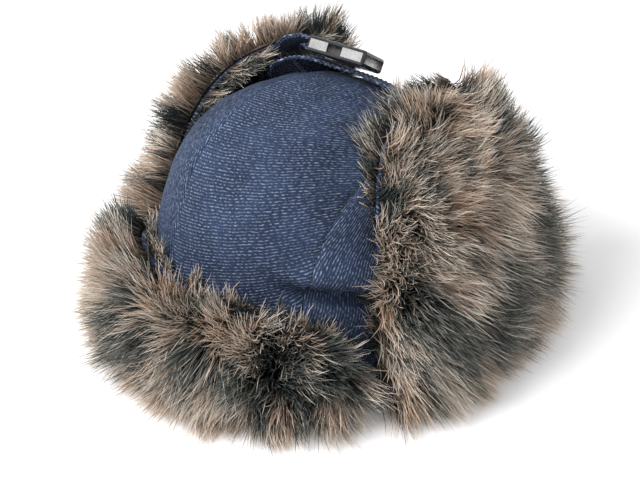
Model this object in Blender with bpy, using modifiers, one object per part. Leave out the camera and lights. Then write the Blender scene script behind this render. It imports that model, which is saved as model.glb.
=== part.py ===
"""A denim trapper hat with fur flaps, standing on its rim with every flap turned up.

Frame: +Z up, the visor faces -Y, the wearer's left is +X. The floor is z = 0 and the
origin is under the middle of the hat. Units are metres.
"""
import bpy
import bmesh
import math
import numpy as np
from mathutils import Matrix, Vector

# ---- driving dimensions ------------------------------------------------------------
CROWN_HALF_WIDTH = 0.100      # ear to ear, outside the denim
CROWN_HALF_LENGTH = 0.110     # front to back, outside the denim
CROWN_TOP = 0.158             # highest point of the denim
CROWN_SHOULDER = 0.030        # height at which the upright wall turns into the dome
CROWN_FULLNESS = 2.35         # 2 is an ellipsoid, more is boxier
CROWN_LEAN = 0.008            # the soft crown's top leans this far to the left
CROWN_HEM = 0.008             # height of the crown's lower edge
SEAM_LEFT = 0.070             # x of the seam on the left of the centre panel
SEAM_RIGHT = -0.025           # x of the seam on its right
DENIM = 0.0010                # thicknesses of the layers
WADDING = 0.0032
LINING = 0.0008
LAYER_GAP = 0.0004            # clearance between layers
SEAM_GAP = 0.0006             # clearance between neighbouring panels
SWEATBAND_HEIGHT = 0.022
SWEATBAND = 0.0022
LABEL_WIDTH = 0.026
LABEL_HEIGHT = 0.018
LABEL_THICK = 0.0006
LABEL_CLEARANCE = 0.0016      # the flat label stands this far off the curved sweatband

FLAP_CLEARANCE = 0.007        # between the crown's wall and a flap's cloth
FLAP_CLOTH = 0.0022           # denim and fur backing
FUR_EDGE = 0.022              # fur thickness round a flap's rim
FUR_PILE = 0.043              # fur thickness in a flap's middle
FUR_OVERHANG = 0.020          # fur past the cloth's edge
FUR_END_SHARE = 0.28          # of the overhang that is left where two flaps meet
FUR_GAP = 0.0024              # clearance between a flap's cloth and the fur's backing
FLAP_HEM = 0.003              # height of a flap cloth's lower edge
FLAP_SQUARE = 2.6             # how square the shoulders of a flap's outline are
FLAP_TOP_SHARE = 0.7          # of an outline's points that go over its top
LEAN_POWER = 2.3              # flaps stand upright at the rim and curl in at the top
HINGE_HEIGHT = 0.002          # the flaps turn about lines just above the floor
HINGE_STANDOFF = 0.002        # visor and neck flap lines, outside the crown's wall

EAR_FRONT = 70.0              # degrees round the rim from the front to the cloth's front
EAR_BACK = 134.0
EAR_REAR_SPREAD = 0.050       # how much further back the flap's plan curve runs
EAR_HEIGHT = 0.987 * CROWN_TOP
EAR_LEAN = 0.0453 * (EAR_HEIGHT / CROWN_TOP) ** LEAN_POWER    # one curve for any height
VISOR_SIDE = 60.0             # degrees from the front to each end of the visor's cloth
VISOR_HEIGHT = 0.066
VISOR_LEAN = 0.004
NECK_SIDE = 22.0
NECK_HEIGHT = 0.096
NECK_LEAN = 0.012

# Places on the crown are drawn on one 0.1 m wide, 0.11 m long and 0.158 m high.
ON_CROWN = Matrix.Diagonal((
    CROWN_HALF_WIDTH / 0.100, CROWN_HALF_LENGTH / 0.110, CROWN_TOP / 0.158
))
STRAP_WIDTH = 0.022
STRAP = 0.0018
BUCKLE_LENGTH = 0.042
BUCKLE_WIDTH = 0.030
BUCKLE_THICK = 0.0098
BUCKLE_WALL = 0.0020
BUCKLE_CENTRE = ON_CROWN @ Vector((0.002, 0.031, 0.1694))
BUCKLE_LONG = Vector((0.980, 0.198, -0.020)).normalized()
BUCKLE_UP = Vector((-0.102, 0.539, 0.836)).normalized()
BAR_RUN = 0.0045              # the bar that the strap loops round, along the buckle
BAR_THICK = 0.0034
SLOT_RUN = 0.0066
PLUG_LENGTH = 0.040
LEFT_STRAP_BEND = ON_CROWN @ Vector((0.045, 0.044, 0.149))     # where a strap folds when its
RIGHT_STRAP_BEND = ON_CROWN @ Vector((-0.045, 0.029, 0.164))   # flap hangs down

SEGMENTS = 48                 # round the crown
DOME_RINGS = 10
FLAP_POINTS = 40              # round a flap's outline

# ---- collections, materials and mesh helpers ---------------------------------------
for old in list(bpy.data.objects):
    bpy.data.objects.remove(old, do_unlink=True)

hat = bpy.data.collections.new("trapper_hat")
cutters = bpy.data.collections.new("cutters")
bpy.context.scene.collection.children.link(hat)
bpy.context.scene.collection.children.link(cutters)


def material(name, colour, roughness, metallic=0.0):
    made = bpy.data.materials.new(name)
    made.use_nodes = True
    shader = made.node_tree.nodes["Principled BSDF"]
    shader.inputs["Base Color"].default_value = (*colour, 1.0)
    shader.inputs["Roughness"].default_value = roughness
    shader.inputs["Metallic"].default_value = metallic
    return made


DENIM_BLUE = material("denim", (0.022, 0.033, 0.095), 0.9)
FUR_BROWN = material("fur", (0.22, 0.15, 0.10), 1.0)
QUILT_BLACK = material("lining", (0.020, 0.020, 0.024), 0.6)
WADDING_WHITE = material("wadding", (0.82, 0.81, 0.78), 1.0)
BAND_BLACK = material("sweatband", (0.028, 0.028, 0.032), 0.85)
BUCKLE_BLACK = material("buckle", (0.012, 0.012, 0.013), 0.35)
LABEL_GREY = material("label", (0.55, 0.55, 0.53), 0.8)


def add_object(name, mesh_data, finish, collection=hat):
    mesh = bpy.data.meshes.new(name)
    mesh_data.to_mesh(mesh)
    mesh_data.free()
    made = bpy.data.objects.new(name, mesh)
    mesh.materials.append(finish)
    collection.objects.link(made)
    return made


def loft(sections, joined=False):
    """A closed skin through rings of points; a ring of one repeated point is a pole.

    joined runs the skin on from the last ring to the first instead of capping the ends.
    """
    bm = bmesh.new()
    rings = []
    for ring in sections:
        ring = np.asarray(ring, float)
        if np.ptp(ring, axis=0).max() < 1e-9:
            pole = bm.verts.new(ring[0])
            rings.append([pole] * len(ring))
        else:
            rings.append([bm.verts.new(p) for p in ring])
    following = [*rings[1:], rings[0]] if joined else rings[1:]
    for low, high in zip(rings, following):
        for i in range(len(low)):
            j = (i + 1) % len(low)
            corners = [low[i], low[j], high[j], high[i]]
            distinct = list(dict.fromkeys(corners))
            if len(distinct) > 2:
                bm.faces.new(distinct)
    if not joined:
        for ring in (rings[0], rings[-1]):
            if ring[0] is not ring[1]:
                bm.faces.new(ring)
    bmesh.ops.recalc_face_normals(bm, faces=bm.faces)
    return bm


def smooth(made, degrees=40.0):
    made.data.shade_smooth()
    made.data.set_sharp_from_angle(angle=math.radians(degrees))


# ---- crown, wadding and lining -----------------------------------------------------
def dome_ring(inset, lift):
    """A ring of the dome; lift runs from 0 at the shoulder to pi/2 at the top."""
    turn = np.linspace(0.0, 2.0 * math.pi, SEGMENTS, endpoint=False)
    reach = math.cos(lift) ** (2.0 / CROWN_FULLNESS) if lift < math.pi / 2 else 0.0
    height = math.sin(lift)
    rise = CROWN_TOP - inset - CROWN_SHOULDER
    return np.stack([
        (CROWN_HALF_WIDTH - inset) * reach * np.sin(turn) + CROWN_LEAN * height,
        -(CROWN_HALF_LENGTH - inset) * reach * np.cos(turn),
        np.full(SEGMENTS, CROWN_SHOULDER + rise * height),
    ], axis=1)


def wall_ring(inset, z):
    ring = dome_ring(inset, 0.0)
    ring[:, 2] = z
    return ring


def dome_shell(outer, inner, hem):
    """A dome with an upright wall, open below, between two insets from the denim."""
    lifts = np.linspace(0.0, math.pi / 2, DOME_RINGS + 1)
    inside = [dome_ring(inner, lift) for lift in lifts[::-1]]
    outside = [dome_ring(outer, lift) for lift in lifts]
    return loft([*inside, wall_ring(inner, hem), wall_ring(outer, hem), *outside])


def keep_beyond(bm, x, side):
    """Cuts the solid at a plane of constant x and keeps the part towards side."""
    geometry = [*bm.verts, *bm.edges, *bm.faces]
    bmesh.ops.bisect_plane(
        bm, geom=geometry, dist=1e-7, plane_co=(x, 0, 0), plane_no=(side, 0, 0), clear_inner=True
    )
    open_edges = [edge for edge in bm.edges if edge.is_boundary]
    bmesh.ops.holes_fill(bm, edges=open_edges, sides=0)
    bmesh.ops.recalc_face_normals(bm, faces=bm.faces)


def crown_panels(prefix, outer, thickness, hem, finish):
    """Three panels of one dome: a centre strip from front to back and two sides."""
    half = SEAM_GAP / 2
    cuts = {
        f"{prefix}_centre_panel": [(SEAM_RIGHT + half, 1), (SEAM_LEFT - half, -1)],
        f"{prefix}_side_panel_left": [(SEAM_LEFT + half, 1)],
        f"{prefix}_side_panel_right": [(SEAM_RIGHT - half, -1)],
    }
    for name, planes in cuts.items():
        bm = dome_shell(outer, outer + thickness, hem)
        for x, side in planes:
            keep_beyond(bm, x, side)
        smooth(add_object(name, bm, finish))


WADDING_INSET = DENIM + LAYER_GAP
LINING_INSET = WADDING_INSET + WADDING + LAYER_GAP
BAND_INSET = LINING_INSET + LINING + LAYER_GAP
crown_panels("crown", 0.0, DENIM, CROWN_HEM, DENIM_BLUE)
smooth(add_object(
    "crown_wadding", dome_shell(WADDING_INSET, WADDING_INSET + WADDING, CROWN_HEM), WADDING_WHITE
))
crown_panels("lining", LINING_INSET, LINING, CROWN_HEM, QUILT_BLACK)

band_inner = BAND_INSET + SWEATBAND
band_top = CROWN_HEM + SWEATBAND_HEIGHT
band_corners = [(band_inner, CROWN_HEM), (band_inner, band_top),
                (BAND_INSET, band_top), (BAND_INSET, CROWN_HEM)]
band = loft([wall_ring(inset, z) for inset, z in band_corners], joined=True)
smooth(add_object("sweatband", band, BAND_BLACK))

# A blank folded size label, sewn into the sweatband's seam at the back of the opening.
label_y = CROWN_HALF_LENGTH - band_inner - LABEL_CLEARANCE - LABEL_THICK / 2
bpy.ops.mesh.primitive_cube_add(size=1.0, location=(0.0, label_y, band_top - LABEL_HEIGHT / 2))
label = bpy.context.object
label.name = "size_label"
label.data.transform(Matrix.Diagonal((LABEL_WIDTH, LABEL_THICK, LABEL_HEIGHT, 1.0)))
label.data.materials.append(LABEL_GREY)
for home in list(label.users_collection):
    home.objects.unlink(label)
hat.objects.link(label)


# ---- flaps: a cloth leaf and a thick fur pad on a curved sheet -----------------------
class Sheet:
    """A curved upright sheet that follows the rim and leans over the crown."""

    def __init__(self, middle, spread_back, height, lean):
        self.middle = math.radians(middle)
        self.spread_back = spread_back
        self.height = height
        self.lean = lean

    def point(self, turn, z, out):
        """Points at angles round the rim, heights, and distances outwards."""
        a = CROWN_HALF_WIDTH + FLAP_CLEARANCE
        b = np.where(np.cos(turn) < 0, CROWN_HALF_LENGTH + FLAP_CLEARANCE + self.spread_back,
                     CROWN_HALF_LENGTH + FLAP_CLEARANCE)
        base = np.stack([a * np.sin(turn), -b * np.cos(turn)], axis=-1)
        normal = np.stack([np.sin(turn) / a, -np.cos(turn) / b], axis=-1)
        normal /= np.linalg.norm(normal, axis=-1, keepdims=True)
        inward = -np.array([math.sin(self.middle), -math.cos(self.middle)])
        share = np.clip(z / self.height, 0.0, None)
        lean = self.lean * share[..., None] ** LEAN_POWER * inward
        plan = base + normal * out[..., None] + lean
        return np.concatenate([plan, z[..., None]], axis=-1)


def outline(front, back, height, base):
    """A flap's outline in (angle, height): a straight base and a round-shouldered top."""
    middle, half = (front + back) / 2, (back - front) / 2
    run = np.linspace(0.0, 1.0, FLAP_POINTS, endpoint=False)
    over_top = run < FLAP_TOP_SHARE
    along = np.where(over_top, run / FLAP_TOP_SHARE, (run - FLAP_TOP_SHARE) / (1 - FLAP_TOP_SHARE))
    across, up = np.cos(along * math.pi), np.abs(np.sin(along * math.pi))
    power = 2.0 / FLAP_SQUARE
    angle = np.where(over_top, middle - half * np.sign(across) * np.abs(across) ** power,
                     back - (back - front) * along)
    rise = np.where(over_top, base + (height - base) * up ** power, base)
    return np.stack([angle, rise], axis=-1)


def pad(sheet, edge, inner, rim, pile, levels):
    """A closed pad: flat against the sheet inside, swelling from rim to pile outside."""
    centre = np.array([edge[:, 0].mean(), edge[:, 1].mean()])

    def ring(scale, out):
        flat = centre + (edge - centre) * scale
        return sheet.point(np.radians(flat[:, 0]), flat[:, 1], np.full(len(flat), out))

    back = [ring(s, inner) for s in (0.0, *levels, 1.0)]
    front = [ring(s, inner + rim + (pile - rim) * (1.0 - s ** 3) ** 0.5) for s in
             (1.0, *levels[::-1], 0.0)]
    return loft([*back, *front])


def flap(name, sheet, front, back, height, mirror=False):
    """One flap's cloth leaf and its fur pad; mirror makes the wearer's right one."""
    cloth_edge = outline(front, back, height, FLAP_HEM)
    cloth = pad(sheet, cloth_edge, 0.0, FLAP_CLOTH, FLAP_CLOTH, (0.3, 0.55, 0.8))
    reach = math.degrees(FUR_OVERHANG / CROWN_HALF_LENGTH) * FUR_END_SHARE
    fur_edge = outline(front - reach, back + reach, height + FUR_OVERHANG, 0.0)
    fur_inner = FLAP_CLOTH + FUR_GAP
    fur = pad(sheet, fur_edge, fur_inner, FUR_EDGE, FUR_PILE, (0.3, 0.6, 0.84, 0.95))
    for part, bm, finish in ((f"{name}_cloth", cloth, DENIM_BLUE), (f"{name}_fur", fur, FUR_BROWN)):
        if mirror:
            bmesh.ops.transform(bm, matrix=Matrix.Diagonal((-1, 1, 1, 1)), verts=bm.verts)
            bmesh.ops.reverse_faces(bm, faces=bm.faces)
        smooth(add_object(part, bm, finish))


ear_sheet = Sheet(90.0, EAR_REAR_SPREAD, EAR_HEIGHT, EAR_LEAN)
flap("ear_flap_left", ear_sheet, EAR_FRONT, EAR_BACK, EAR_HEIGHT)
flap("ear_flap_right", ear_sheet, EAR_FRONT, EAR_BACK, EAR_HEIGHT, mirror=True)
visor_sheet = Sheet(0.0, 0.0, VISOR_HEIGHT, VISOR_LEAN)
flap("visor", visor_sheet, -VISOR_SIDE, VISOR_SIDE, VISOR_HEIGHT)
neck_sheet = Sheet(180.0, 0.0, NECK_HEIGHT, NECK_LEAN)
flap("neck_flap", neck_sheet, 180.0 - NECK_SIDE, 180.0 + NECK_SIDE, NECK_HEIGHT)


# ---- straps ------------------------------------------------------------------------
def on_crown(*points):
    """Points of a strap's route, drawn on the crown of standard size."""
    return [np.array(ON_CROWN @ Vector(point)) for point in points]


def smooth_route(points, per_span):
    """A Catmull-Rom curve through the points."""
    pts = np.asarray(points, float)
    pts = np.vstack([2 * pts[0] - pts[1], pts, 2 * pts[-1] - pts[-2]])
    out = []
    for i in range(1, len(pts) - 2):
        a, b, c, d = pts[i - 1: i + 3]
        for t in np.linspace(0.0, 1.0, per_span, endpoint=False):
            out.append(0.5 * (2 * b + (c - a) * t + (2 * a - 5 * b + 4 * c - d) * t * t
                              + (3 * b - a - 3 * c + d) * t ** 3))
    return np.array([*out, pts[-2]])


def ribbon(route, side, width, thick):
    """A flat strap along a route; side gives its width direction at each point."""
    tangent = np.gradient(route, axis=0)
    tangent /= np.linalg.norm(tangent, axis=1, keepdims=True)
    side = side - tangent * (side * tangent).sum(1, keepdims=True)
    side /= np.linalg.norm(side, axis=1, keepdims=True)
    up = np.cross(tangent, side)
    corners = [(-1, -1), (1, -1), (1, 1), (-1, 1)]
    rings = np.stack([route + side * (width / 2 * s) + up * (thick / 2 * u) for s, u in corners],
                     axis=1)
    return loft(list(rings))


long_axis = np.array(BUCKLE_LONG)
up_axis = np.array(BUCKLE_UP)
side_axis = np.cross(up_axis, long_axis)
bar_middle = -BUCKLE_LENGTH / 2 + BAR_RUN / 2


def on_buckle(along, above):
    """A point on the socket's middle plane, from its centre."""
    return np.array(BUCKLE_CENTRE) + long_axis * along + up_axis * above


wrap = BAR_THICK / 2 + STRAP / 2 + 0.0005
turn_at = bar_middle + BAR_RUN / 2 + STRAP / 2 + 0.0005
free = smooth_route([
    *on_crown((-0.0893, 0.035, 0.084), (-0.0848, 0.035, 0.100), (-0.0745, 0.034, 0.122),
              (-0.0620, 0.031, 0.1455), (-0.0450, 0.029, 0.1640)),
    on_buckle(-0.0300, wrap + 0.0004),
], 5)
loop = [on_buckle(-0.0225, wrap), on_buckle(bar_middle, wrap), on_buckle(turn_at - 0.0012, wrap),
        on_buckle(turn_at, wrap - 0.0012), on_buckle(turn_at, -wrap + 0.0012),
        on_buckle(turn_at - 0.0012, -wrap), on_buckle(bar_middle, -wrap), on_buckle(-0.0225, -wrap),
        on_buckle(-0.0275, -wrap + 0.0010)]
route = np.vstack([free, loop])
share = np.clip((np.arange(len(route)) - 8) / 14.0, 0.0, 1.0)[:, None]
side = (1 - share) * np.array([0.0, 1.0, 0.0]) + share * side_axis
add_object("strap_right", ribbon(route, side, STRAP_WIDTH, STRAP), DENIM_BLUE)

under = smooth_route(on_crown(
    (0.0812, 0.050, 0.104), (0.0745, 0.049, 0.119), (0.0600, 0.047, 0.1385),
    (0.0400, 0.044, 0.1500), (0.0180, 0.040, 0.1550), (-0.0040, 0.034, 0.1574),
    (-0.0250, 0.026, 0.1605), (-0.0410, 0.021, 0.1550), (-0.0520, 0.026, 0.1435),
    (-0.0590, 0.040, 0.1300), (-0.0645, 0.0535, 0.1170), (-0.0712, 0.0612, 0.1025),
    (-0.0722, 0.0618, 0.0987),
), 4)
steps = np.arange(len(under))[:, None]
tilt = np.interp(steps, [0, 12, 22, 32], [0.0, 0.50, 0.45, 0.0])
toe = np.interp(steps, [0, 10, 32, 46], [-0.25, 0.0, 0.0, 0.60])
side = np.concatenate([np.sin(toe), np.cos(toe) * np.cos(tilt), -np.sin(tilt)], axis=1)
add_object("strap_left", ribbon(under, side, STRAP_WIDTH, STRAP), DENIM_BLUE)


# ---- side-release buckle -------------------------------------------------------------
def box(name, size, centre, collection):
    bpy.ops.mesh.primitive_cube_add(size=1.0)
    made = bpy.context.object
    made.name = name
    made.data.transform(Matrix.Diagonal((*size, 1.0)))
    made.data.transform(Matrix.Translation(centre))
    for home in list(made.users_collection):
        home.objects.unlink(made)
    collection.objects.link(made)
    return made


def carve(target, cutter):
    cutter.hide_render = True
    cutter.display_type = "WIRE"
    cut = target.modifiers.new(cutter.name, "BOOLEAN")
    cut.operation = "DIFFERENCE"
    cut.solver = "EXACT"
    cut.object = cutter


def settle(made, matrix):
    """Bakes the modifiers in, then moves the mesh to its place."""
    depsgraph = bpy.context.evaluated_depsgraph_get()
    mesh = bpy.data.meshes.new_from_object(made.evaluated_get(depsgraph))
    made.modifiers.clear()
    made.data = mesh
    made.data.transform(matrix)


def frame_matrix(centre, along, up):
    across = up.cross(along).normalized()
    up = along.cross(across)
    return Matrix.Translation(centre) @ Matrix((along, across, up)).transposed().to_4x4()


half_length = BUCKLE_LENGTH / 2
socket = box("buckle_socket", (BUCKLE_LENGTH, BUCKLE_WIDTH, BUCKLE_THICK), (0, 0, 0), hat)
socket.data.materials.append(BUCKLE_BLACK)
edges = socket.modifiers.new("rounded", "BEVEL")
edges.width = 0.0020
edges.segments = 2
slot_start = -half_length + BAR_RUN
cavity_start = slot_start + SLOT_RUN + BUCKLE_WALL
cavity_run = half_length - cavity_start + 0.002
mouth_width = BUCKLE_WIDTH - 2 * BUCKLE_WALL
carve(socket, box("mouth", (cavity_run, mouth_width, BUCKLE_THICK - 2 * BUCKLE_WALL),
                  (cavity_start + cavity_run / 2, 0, 0), cutters))
carve(socket, box("strap_slot", (SLOT_RUN, STRAP_WIDTH + 0.0016, 0.03),
                  (slot_start + SLOT_RUN / 2, 0, 0), cutters))
window_run = 0.0105
window_middle = cavity_start + 0.0018 + window_run / 2
carve(socket, box("side_windows", (window_run, BUCKLE_WIDTH + 0.01, BUCKLE_THICK - 2 * BUCKLE_WALL),
                  (window_middle, 0, 0), cutters))
for level, place in (("above", 1), ("below", -1)):
    carve(socket, box(f"bar_relief_{level}", (2 * BAR_RUN, STRAP_WIDTH + 0.0016, 0.02),
                      (-half_length, 0, place * (0.01 + BAR_THICK / 2)), cutters))
settle(socket, frame_matrix(BUCKLE_CENTRE, BUCKLE_LONG, BUCKLE_UP))

# The plug: a slotted body, a guide tongue and two prongs with barbs, as one flat outline.
PRONG_REACH = 0.0240
body_run = PLUG_LENGTH - PRONG_REACH
half_width = BUCKLE_WIDTH / 2
outline_points = [
    (0.0, -half_width), (body_run, -half_width), (body_run, -half_width + 0.0030),
    (body_run + 0.010, -half_width + 0.0022), (body_run + 0.010, -half_width + 0.0002),
    (PLUG_LENGTH - 0.003, -half_width + 0.0045), (PLUG_LENGTH - 0.005, -half_width + 0.0068),
    (body_run + 0.009, -half_width + 0.0058), (body_run, -half_width + 0.0062),
    (body_run, -0.0022), (PLUG_LENGTH - 0.004, -0.0016),
]
mirrored = [(x, -y) for x, y in reversed(outline_points)]
shape = bpy.data.curves.new("plug_outline", "CURVE")
shape.dimensions = "2D"
shape.fill_mode = "BOTH"
shape.extrude = 0.0021
for points in (outline_points + mirrored,
               [(0.0035, -0.0118), (0.0035, 0.0118), (0.0085, 0.0118), (0.0085, -0.0118)]):
    spline = shape.splines.new("POLY")
    spline.points.add(len(points) - 1)
    for point, (x, y) in zip(spline.points, points):
        point.co = (x, y, 0.0, 1.0)
    spline.use_cyclic_u = True
flat = bpy.data.objects.new("plug_outline", shape)
hat.objects.link(flat)
plug_mesh = bpy.data.meshes.new_from_object(
    flat.evaluated_get(bpy.context.evaluated_depsgraph_get()))
bpy.data.objects.remove(flat, do_unlink=True)
plug_data = bmesh.new()
plug_data.from_mesh(plug_mesh)
bmesh.ops.remove_doubles(plug_data, verts=plug_data.verts, dist=1e-6)
bmesh.ops.recalc_face_normals(plug_data, faces=plug_data.faces)
down = Vector((-0.25, 0.18, -0.95)).normalized()
out_of_crown = Vector((-0.80, 0.56, 0.30))
plug_place = frame_matrix(Vector(under[-1]) + down * 0.0018, down, out_of_crown)
plug_data.transform(plug_place)
add_object("buckle_plug", plug_data, BUCKLE_BLACK)


# ---- joints ------------------------------------------------------------------------
def hang(name, place, members, parent=None):
    """An empty on a joint's axis that carries the pieces that turn about it."""
    pivot = bpy.data.objects.new(name, None)
    hat.objects.link(pivot)
    offset = Vector(place)
    if parent:
        pivot.parent = parent
        pivot.location = offset - parent.matrix_world.translation
    else:
        pivot.location = offset
    bpy.context.view_layer.update()
    for member in members:
        piece = bpy.data.objects[member]
        piece.parent = pivot
        piece.matrix_parent_inverse = pivot.matrix_world.inverted()
    return pivot


left = hang("ear_flap_left_hinge", (CROWN_HALF_WIDTH, 0.0, HINGE_HEIGHT),
            ["ear_flap_left_cloth", "ear_flap_left_fur", "strap_left"])
right = hang("ear_flap_right_hinge", (-CROWN_HALF_WIDTH, 0.0, HINGE_HEIGHT),
             ["ear_flap_right_cloth", "ear_flap_right_fur", "strap_right"])
hang("plug_swing", LEFT_STRAP_BEND, ["buckle_plug"], left)
hang("socket_swing", RIGHT_STRAP_BEND, ["buckle_socket"], right)
hang("visor_hinge", (0.0, -CROWN_HALF_LENGTH - HINGE_STANDOFF, HINGE_HEIGHT),
     ["visor_cloth", "visor_fur"])
hang("neck_flap_hinge", (0.0, CROWN_HALF_LENGTH + HINGE_STANDOFF, HINGE_HEIGHT),
     ["neck_flap_cloth", "neck_flap_fur"])
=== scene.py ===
"""The looks of a denim trapper hat with long fur flaps, built round its fixed frame.

The frame gives the sizes and the bodies. Each sub-assembly below is a class that works out
its surfaces as whole numpy arrays, makes them meshes and dresses them in its finish.
+Z is up, the visor faces -Y and the wearer's left is +X. Units are metres.
"""
import logging
import math
from dataclasses import dataclass, field
from enum import Enum

import bpy
import numpy as np
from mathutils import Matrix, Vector


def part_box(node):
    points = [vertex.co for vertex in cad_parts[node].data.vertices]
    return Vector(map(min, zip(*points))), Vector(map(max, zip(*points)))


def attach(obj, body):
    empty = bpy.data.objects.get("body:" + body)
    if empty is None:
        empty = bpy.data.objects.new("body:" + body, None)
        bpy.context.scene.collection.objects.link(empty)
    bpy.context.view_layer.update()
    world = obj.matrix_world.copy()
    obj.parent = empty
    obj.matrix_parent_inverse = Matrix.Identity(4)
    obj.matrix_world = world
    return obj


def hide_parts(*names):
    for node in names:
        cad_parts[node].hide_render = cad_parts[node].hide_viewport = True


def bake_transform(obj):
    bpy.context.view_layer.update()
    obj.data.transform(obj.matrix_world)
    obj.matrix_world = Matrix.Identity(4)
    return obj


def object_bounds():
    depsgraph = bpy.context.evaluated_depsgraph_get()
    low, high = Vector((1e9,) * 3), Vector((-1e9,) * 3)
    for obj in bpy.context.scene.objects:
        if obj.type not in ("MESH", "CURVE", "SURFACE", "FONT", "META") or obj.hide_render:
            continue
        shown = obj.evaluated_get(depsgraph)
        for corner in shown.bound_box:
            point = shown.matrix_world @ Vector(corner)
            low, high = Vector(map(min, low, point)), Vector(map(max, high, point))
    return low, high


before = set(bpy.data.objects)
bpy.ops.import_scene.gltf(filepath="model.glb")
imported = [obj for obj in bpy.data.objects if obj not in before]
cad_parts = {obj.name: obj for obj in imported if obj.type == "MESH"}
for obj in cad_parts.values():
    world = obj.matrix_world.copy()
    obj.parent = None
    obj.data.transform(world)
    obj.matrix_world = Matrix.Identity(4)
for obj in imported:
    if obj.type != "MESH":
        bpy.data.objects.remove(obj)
CAD_BOX = [list(corner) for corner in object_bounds()]
LOG = logging.getLogger("trapper_hat")
SEED = 20
CLOTH_MAP = "cloth"
FUR_MAP = "OFBake"
ROOM_GAP, ROOM_SHARE = 0.009, 0.029
ROOM = np.array(CAD_BOX) + np.array([[-1.0], [1.0]]) * (
    ROOM_GAP + ROOM_SHARE * np.diff(CAD_BOX, axis=0))


class Slot(Enum):
    """The record's material slots."""

    DENIM = "denim"
    FUR = "fur"
    LINING = "lining"
    WADDING = "wadding"
    SWEATBAND = "sweatband"


# ---- arrays and meshes ---------------------------------------------------------------
def unit(vectors: np.ndarray) -> np.ndarray:
    """Vectors along the last axis, each divided by its length."""
    return vectors / np.maximum(np.linalg.norm(vectors, axis=-1, keepdims=True), 1e-12)


def smooth_step(low: float, high: float, value: np.ndarray) -> np.ndarray:
    """0 below low, 1 above high, and 3t^2 - 2t^3 between them."""
    share = np.clip((value - low) / (high - low), 0.0, 1.0)
    return share * share * (3.0 - 2.0 * share)


def bump(distance: np.ndarray, width: float) -> np.ndarray:
    """A bell of height 1: e to the power of minus (distance / width) squared."""
    return np.exp(-(distance / width) ** 2)


def ripple(points: np.ndarray, wavelength: float, seed: int, waves: int = 9) -> np.ndarray:
    """Smooth noise of about -1 to 1: the mean of sine waves in random directions.

    Args:
        points: places, (..., 3).
        wavelength: the waves' mean length.
        seed: fixes the random directions and phases.
        waves: how many waves are added.

    Returns:
        One value for each place.
    """
    rng = np.random.default_rng(seed)
    heading = unit(rng.normal(size=(waves, 3))) * (2 * math.pi / wavelength)
    heading *= rng.uniform(0.6, 1.5, (waves, 1))
    phase = rng.uniform(0, 2 * math.pi, waves)
    return np.sin(points @ heading.T + phase).sum(-1) / math.sqrt(waves / 2.0) / 1.6


def make_piece(name: str, points: np.ndarray, quads: np.ndarray, tris: np.ndarray | None = None,
               uv: np.ndarray | None = None, marks: dict[str, np.ndarray] | None = None,
               smooth: bool = True, map_name: str = CLOTH_MAP) -> bpy.types.Object:
    """Puts whole arrays into a new mesh object at the origin.

    Args:
        name: the piece's name.
        points: vertices, (n, 3).
        quads: four-sided faces as vertex numbers, (m, 4).
        tris: three-sided faces, (k, 3).
        uv: one texture place for each vertex, (n, 2).
        marks: named values for each vertex, such as how near a seam it is.
        smooth: whether faces are shaded smooth.
        map_name: the name of the texture map.

    Returns:
        The object, linked to the scene.
    """
    tris = np.zeros((0, 3), int) if tris is None else tris
    corners = np.concatenate([quads.ravel(), tris.ravel()]).astype(np.int32)
    sizes = np.concatenate([np.full(len(quads), 4), np.full(len(tris), 3)]).astype(np.int32)
    starts = np.concatenate([[0], np.cumsum(sizes)[:-1]]).astype(np.int32)
    mesh = bpy.data.meshes.new(name)
    mesh.vertices.add(len(points))
    mesh.vertices.foreach_set("co", np.ascontiguousarray(points, np.float32).ravel())
    mesh.loops.add(len(corners))
    mesh.loops.foreach_set("vertex_index", corners)
    mesh.polygons.add(len(sizes))
    mesh.polygons.foreach_set("loop_start", starts)
    if uv is not None:
        layer = mesh.uv_layers.new(name=map_name)
        layer.data.foreach_set("uv", np.ascontiguousarray(uv[corners], np.float32).ravel())
    for mark, values in (marks or {}).items():
        stored = mesh.attributes.new(mark, "FLOAT", "POINT")
        stored.data.foreach_set("value", np.ascontiguousarray(values, np.float32).ravel())
    mesh.update(calc_edges=True)
    mesh.validate()
    if smooth:
        mesh.shade_smooth()
        mesh.set_sharp_from_angle(angle=math.radians(50))
    made = bpy.data.objects.new(name, mesh)
    bpy.context.scene.collection.objects.link(made)
    return made


def grid_quads(rows: int, columns: int, wrap: bool = False, close: bool = False) -> np.ndarray:
    """Faces of a grid; wrap joins the last column to the first, and close the last row."""
    numbers = np.arange(rows * columns).reshape(rows, columns)
    if close:
        numbers = np.concatenate([numbers, numbers[:1]], axis=0)
    if wrap:
        numbers = np.concatenate([numbers, numbers[:, :1]], axis=1)
    return np.stack([numbers[:-1, :-1], numbers[:-1, 1:], numbers[1:, 1:], numbers[1:, :-1]],
                    axis=-1).reshape(-1, 4)


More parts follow.
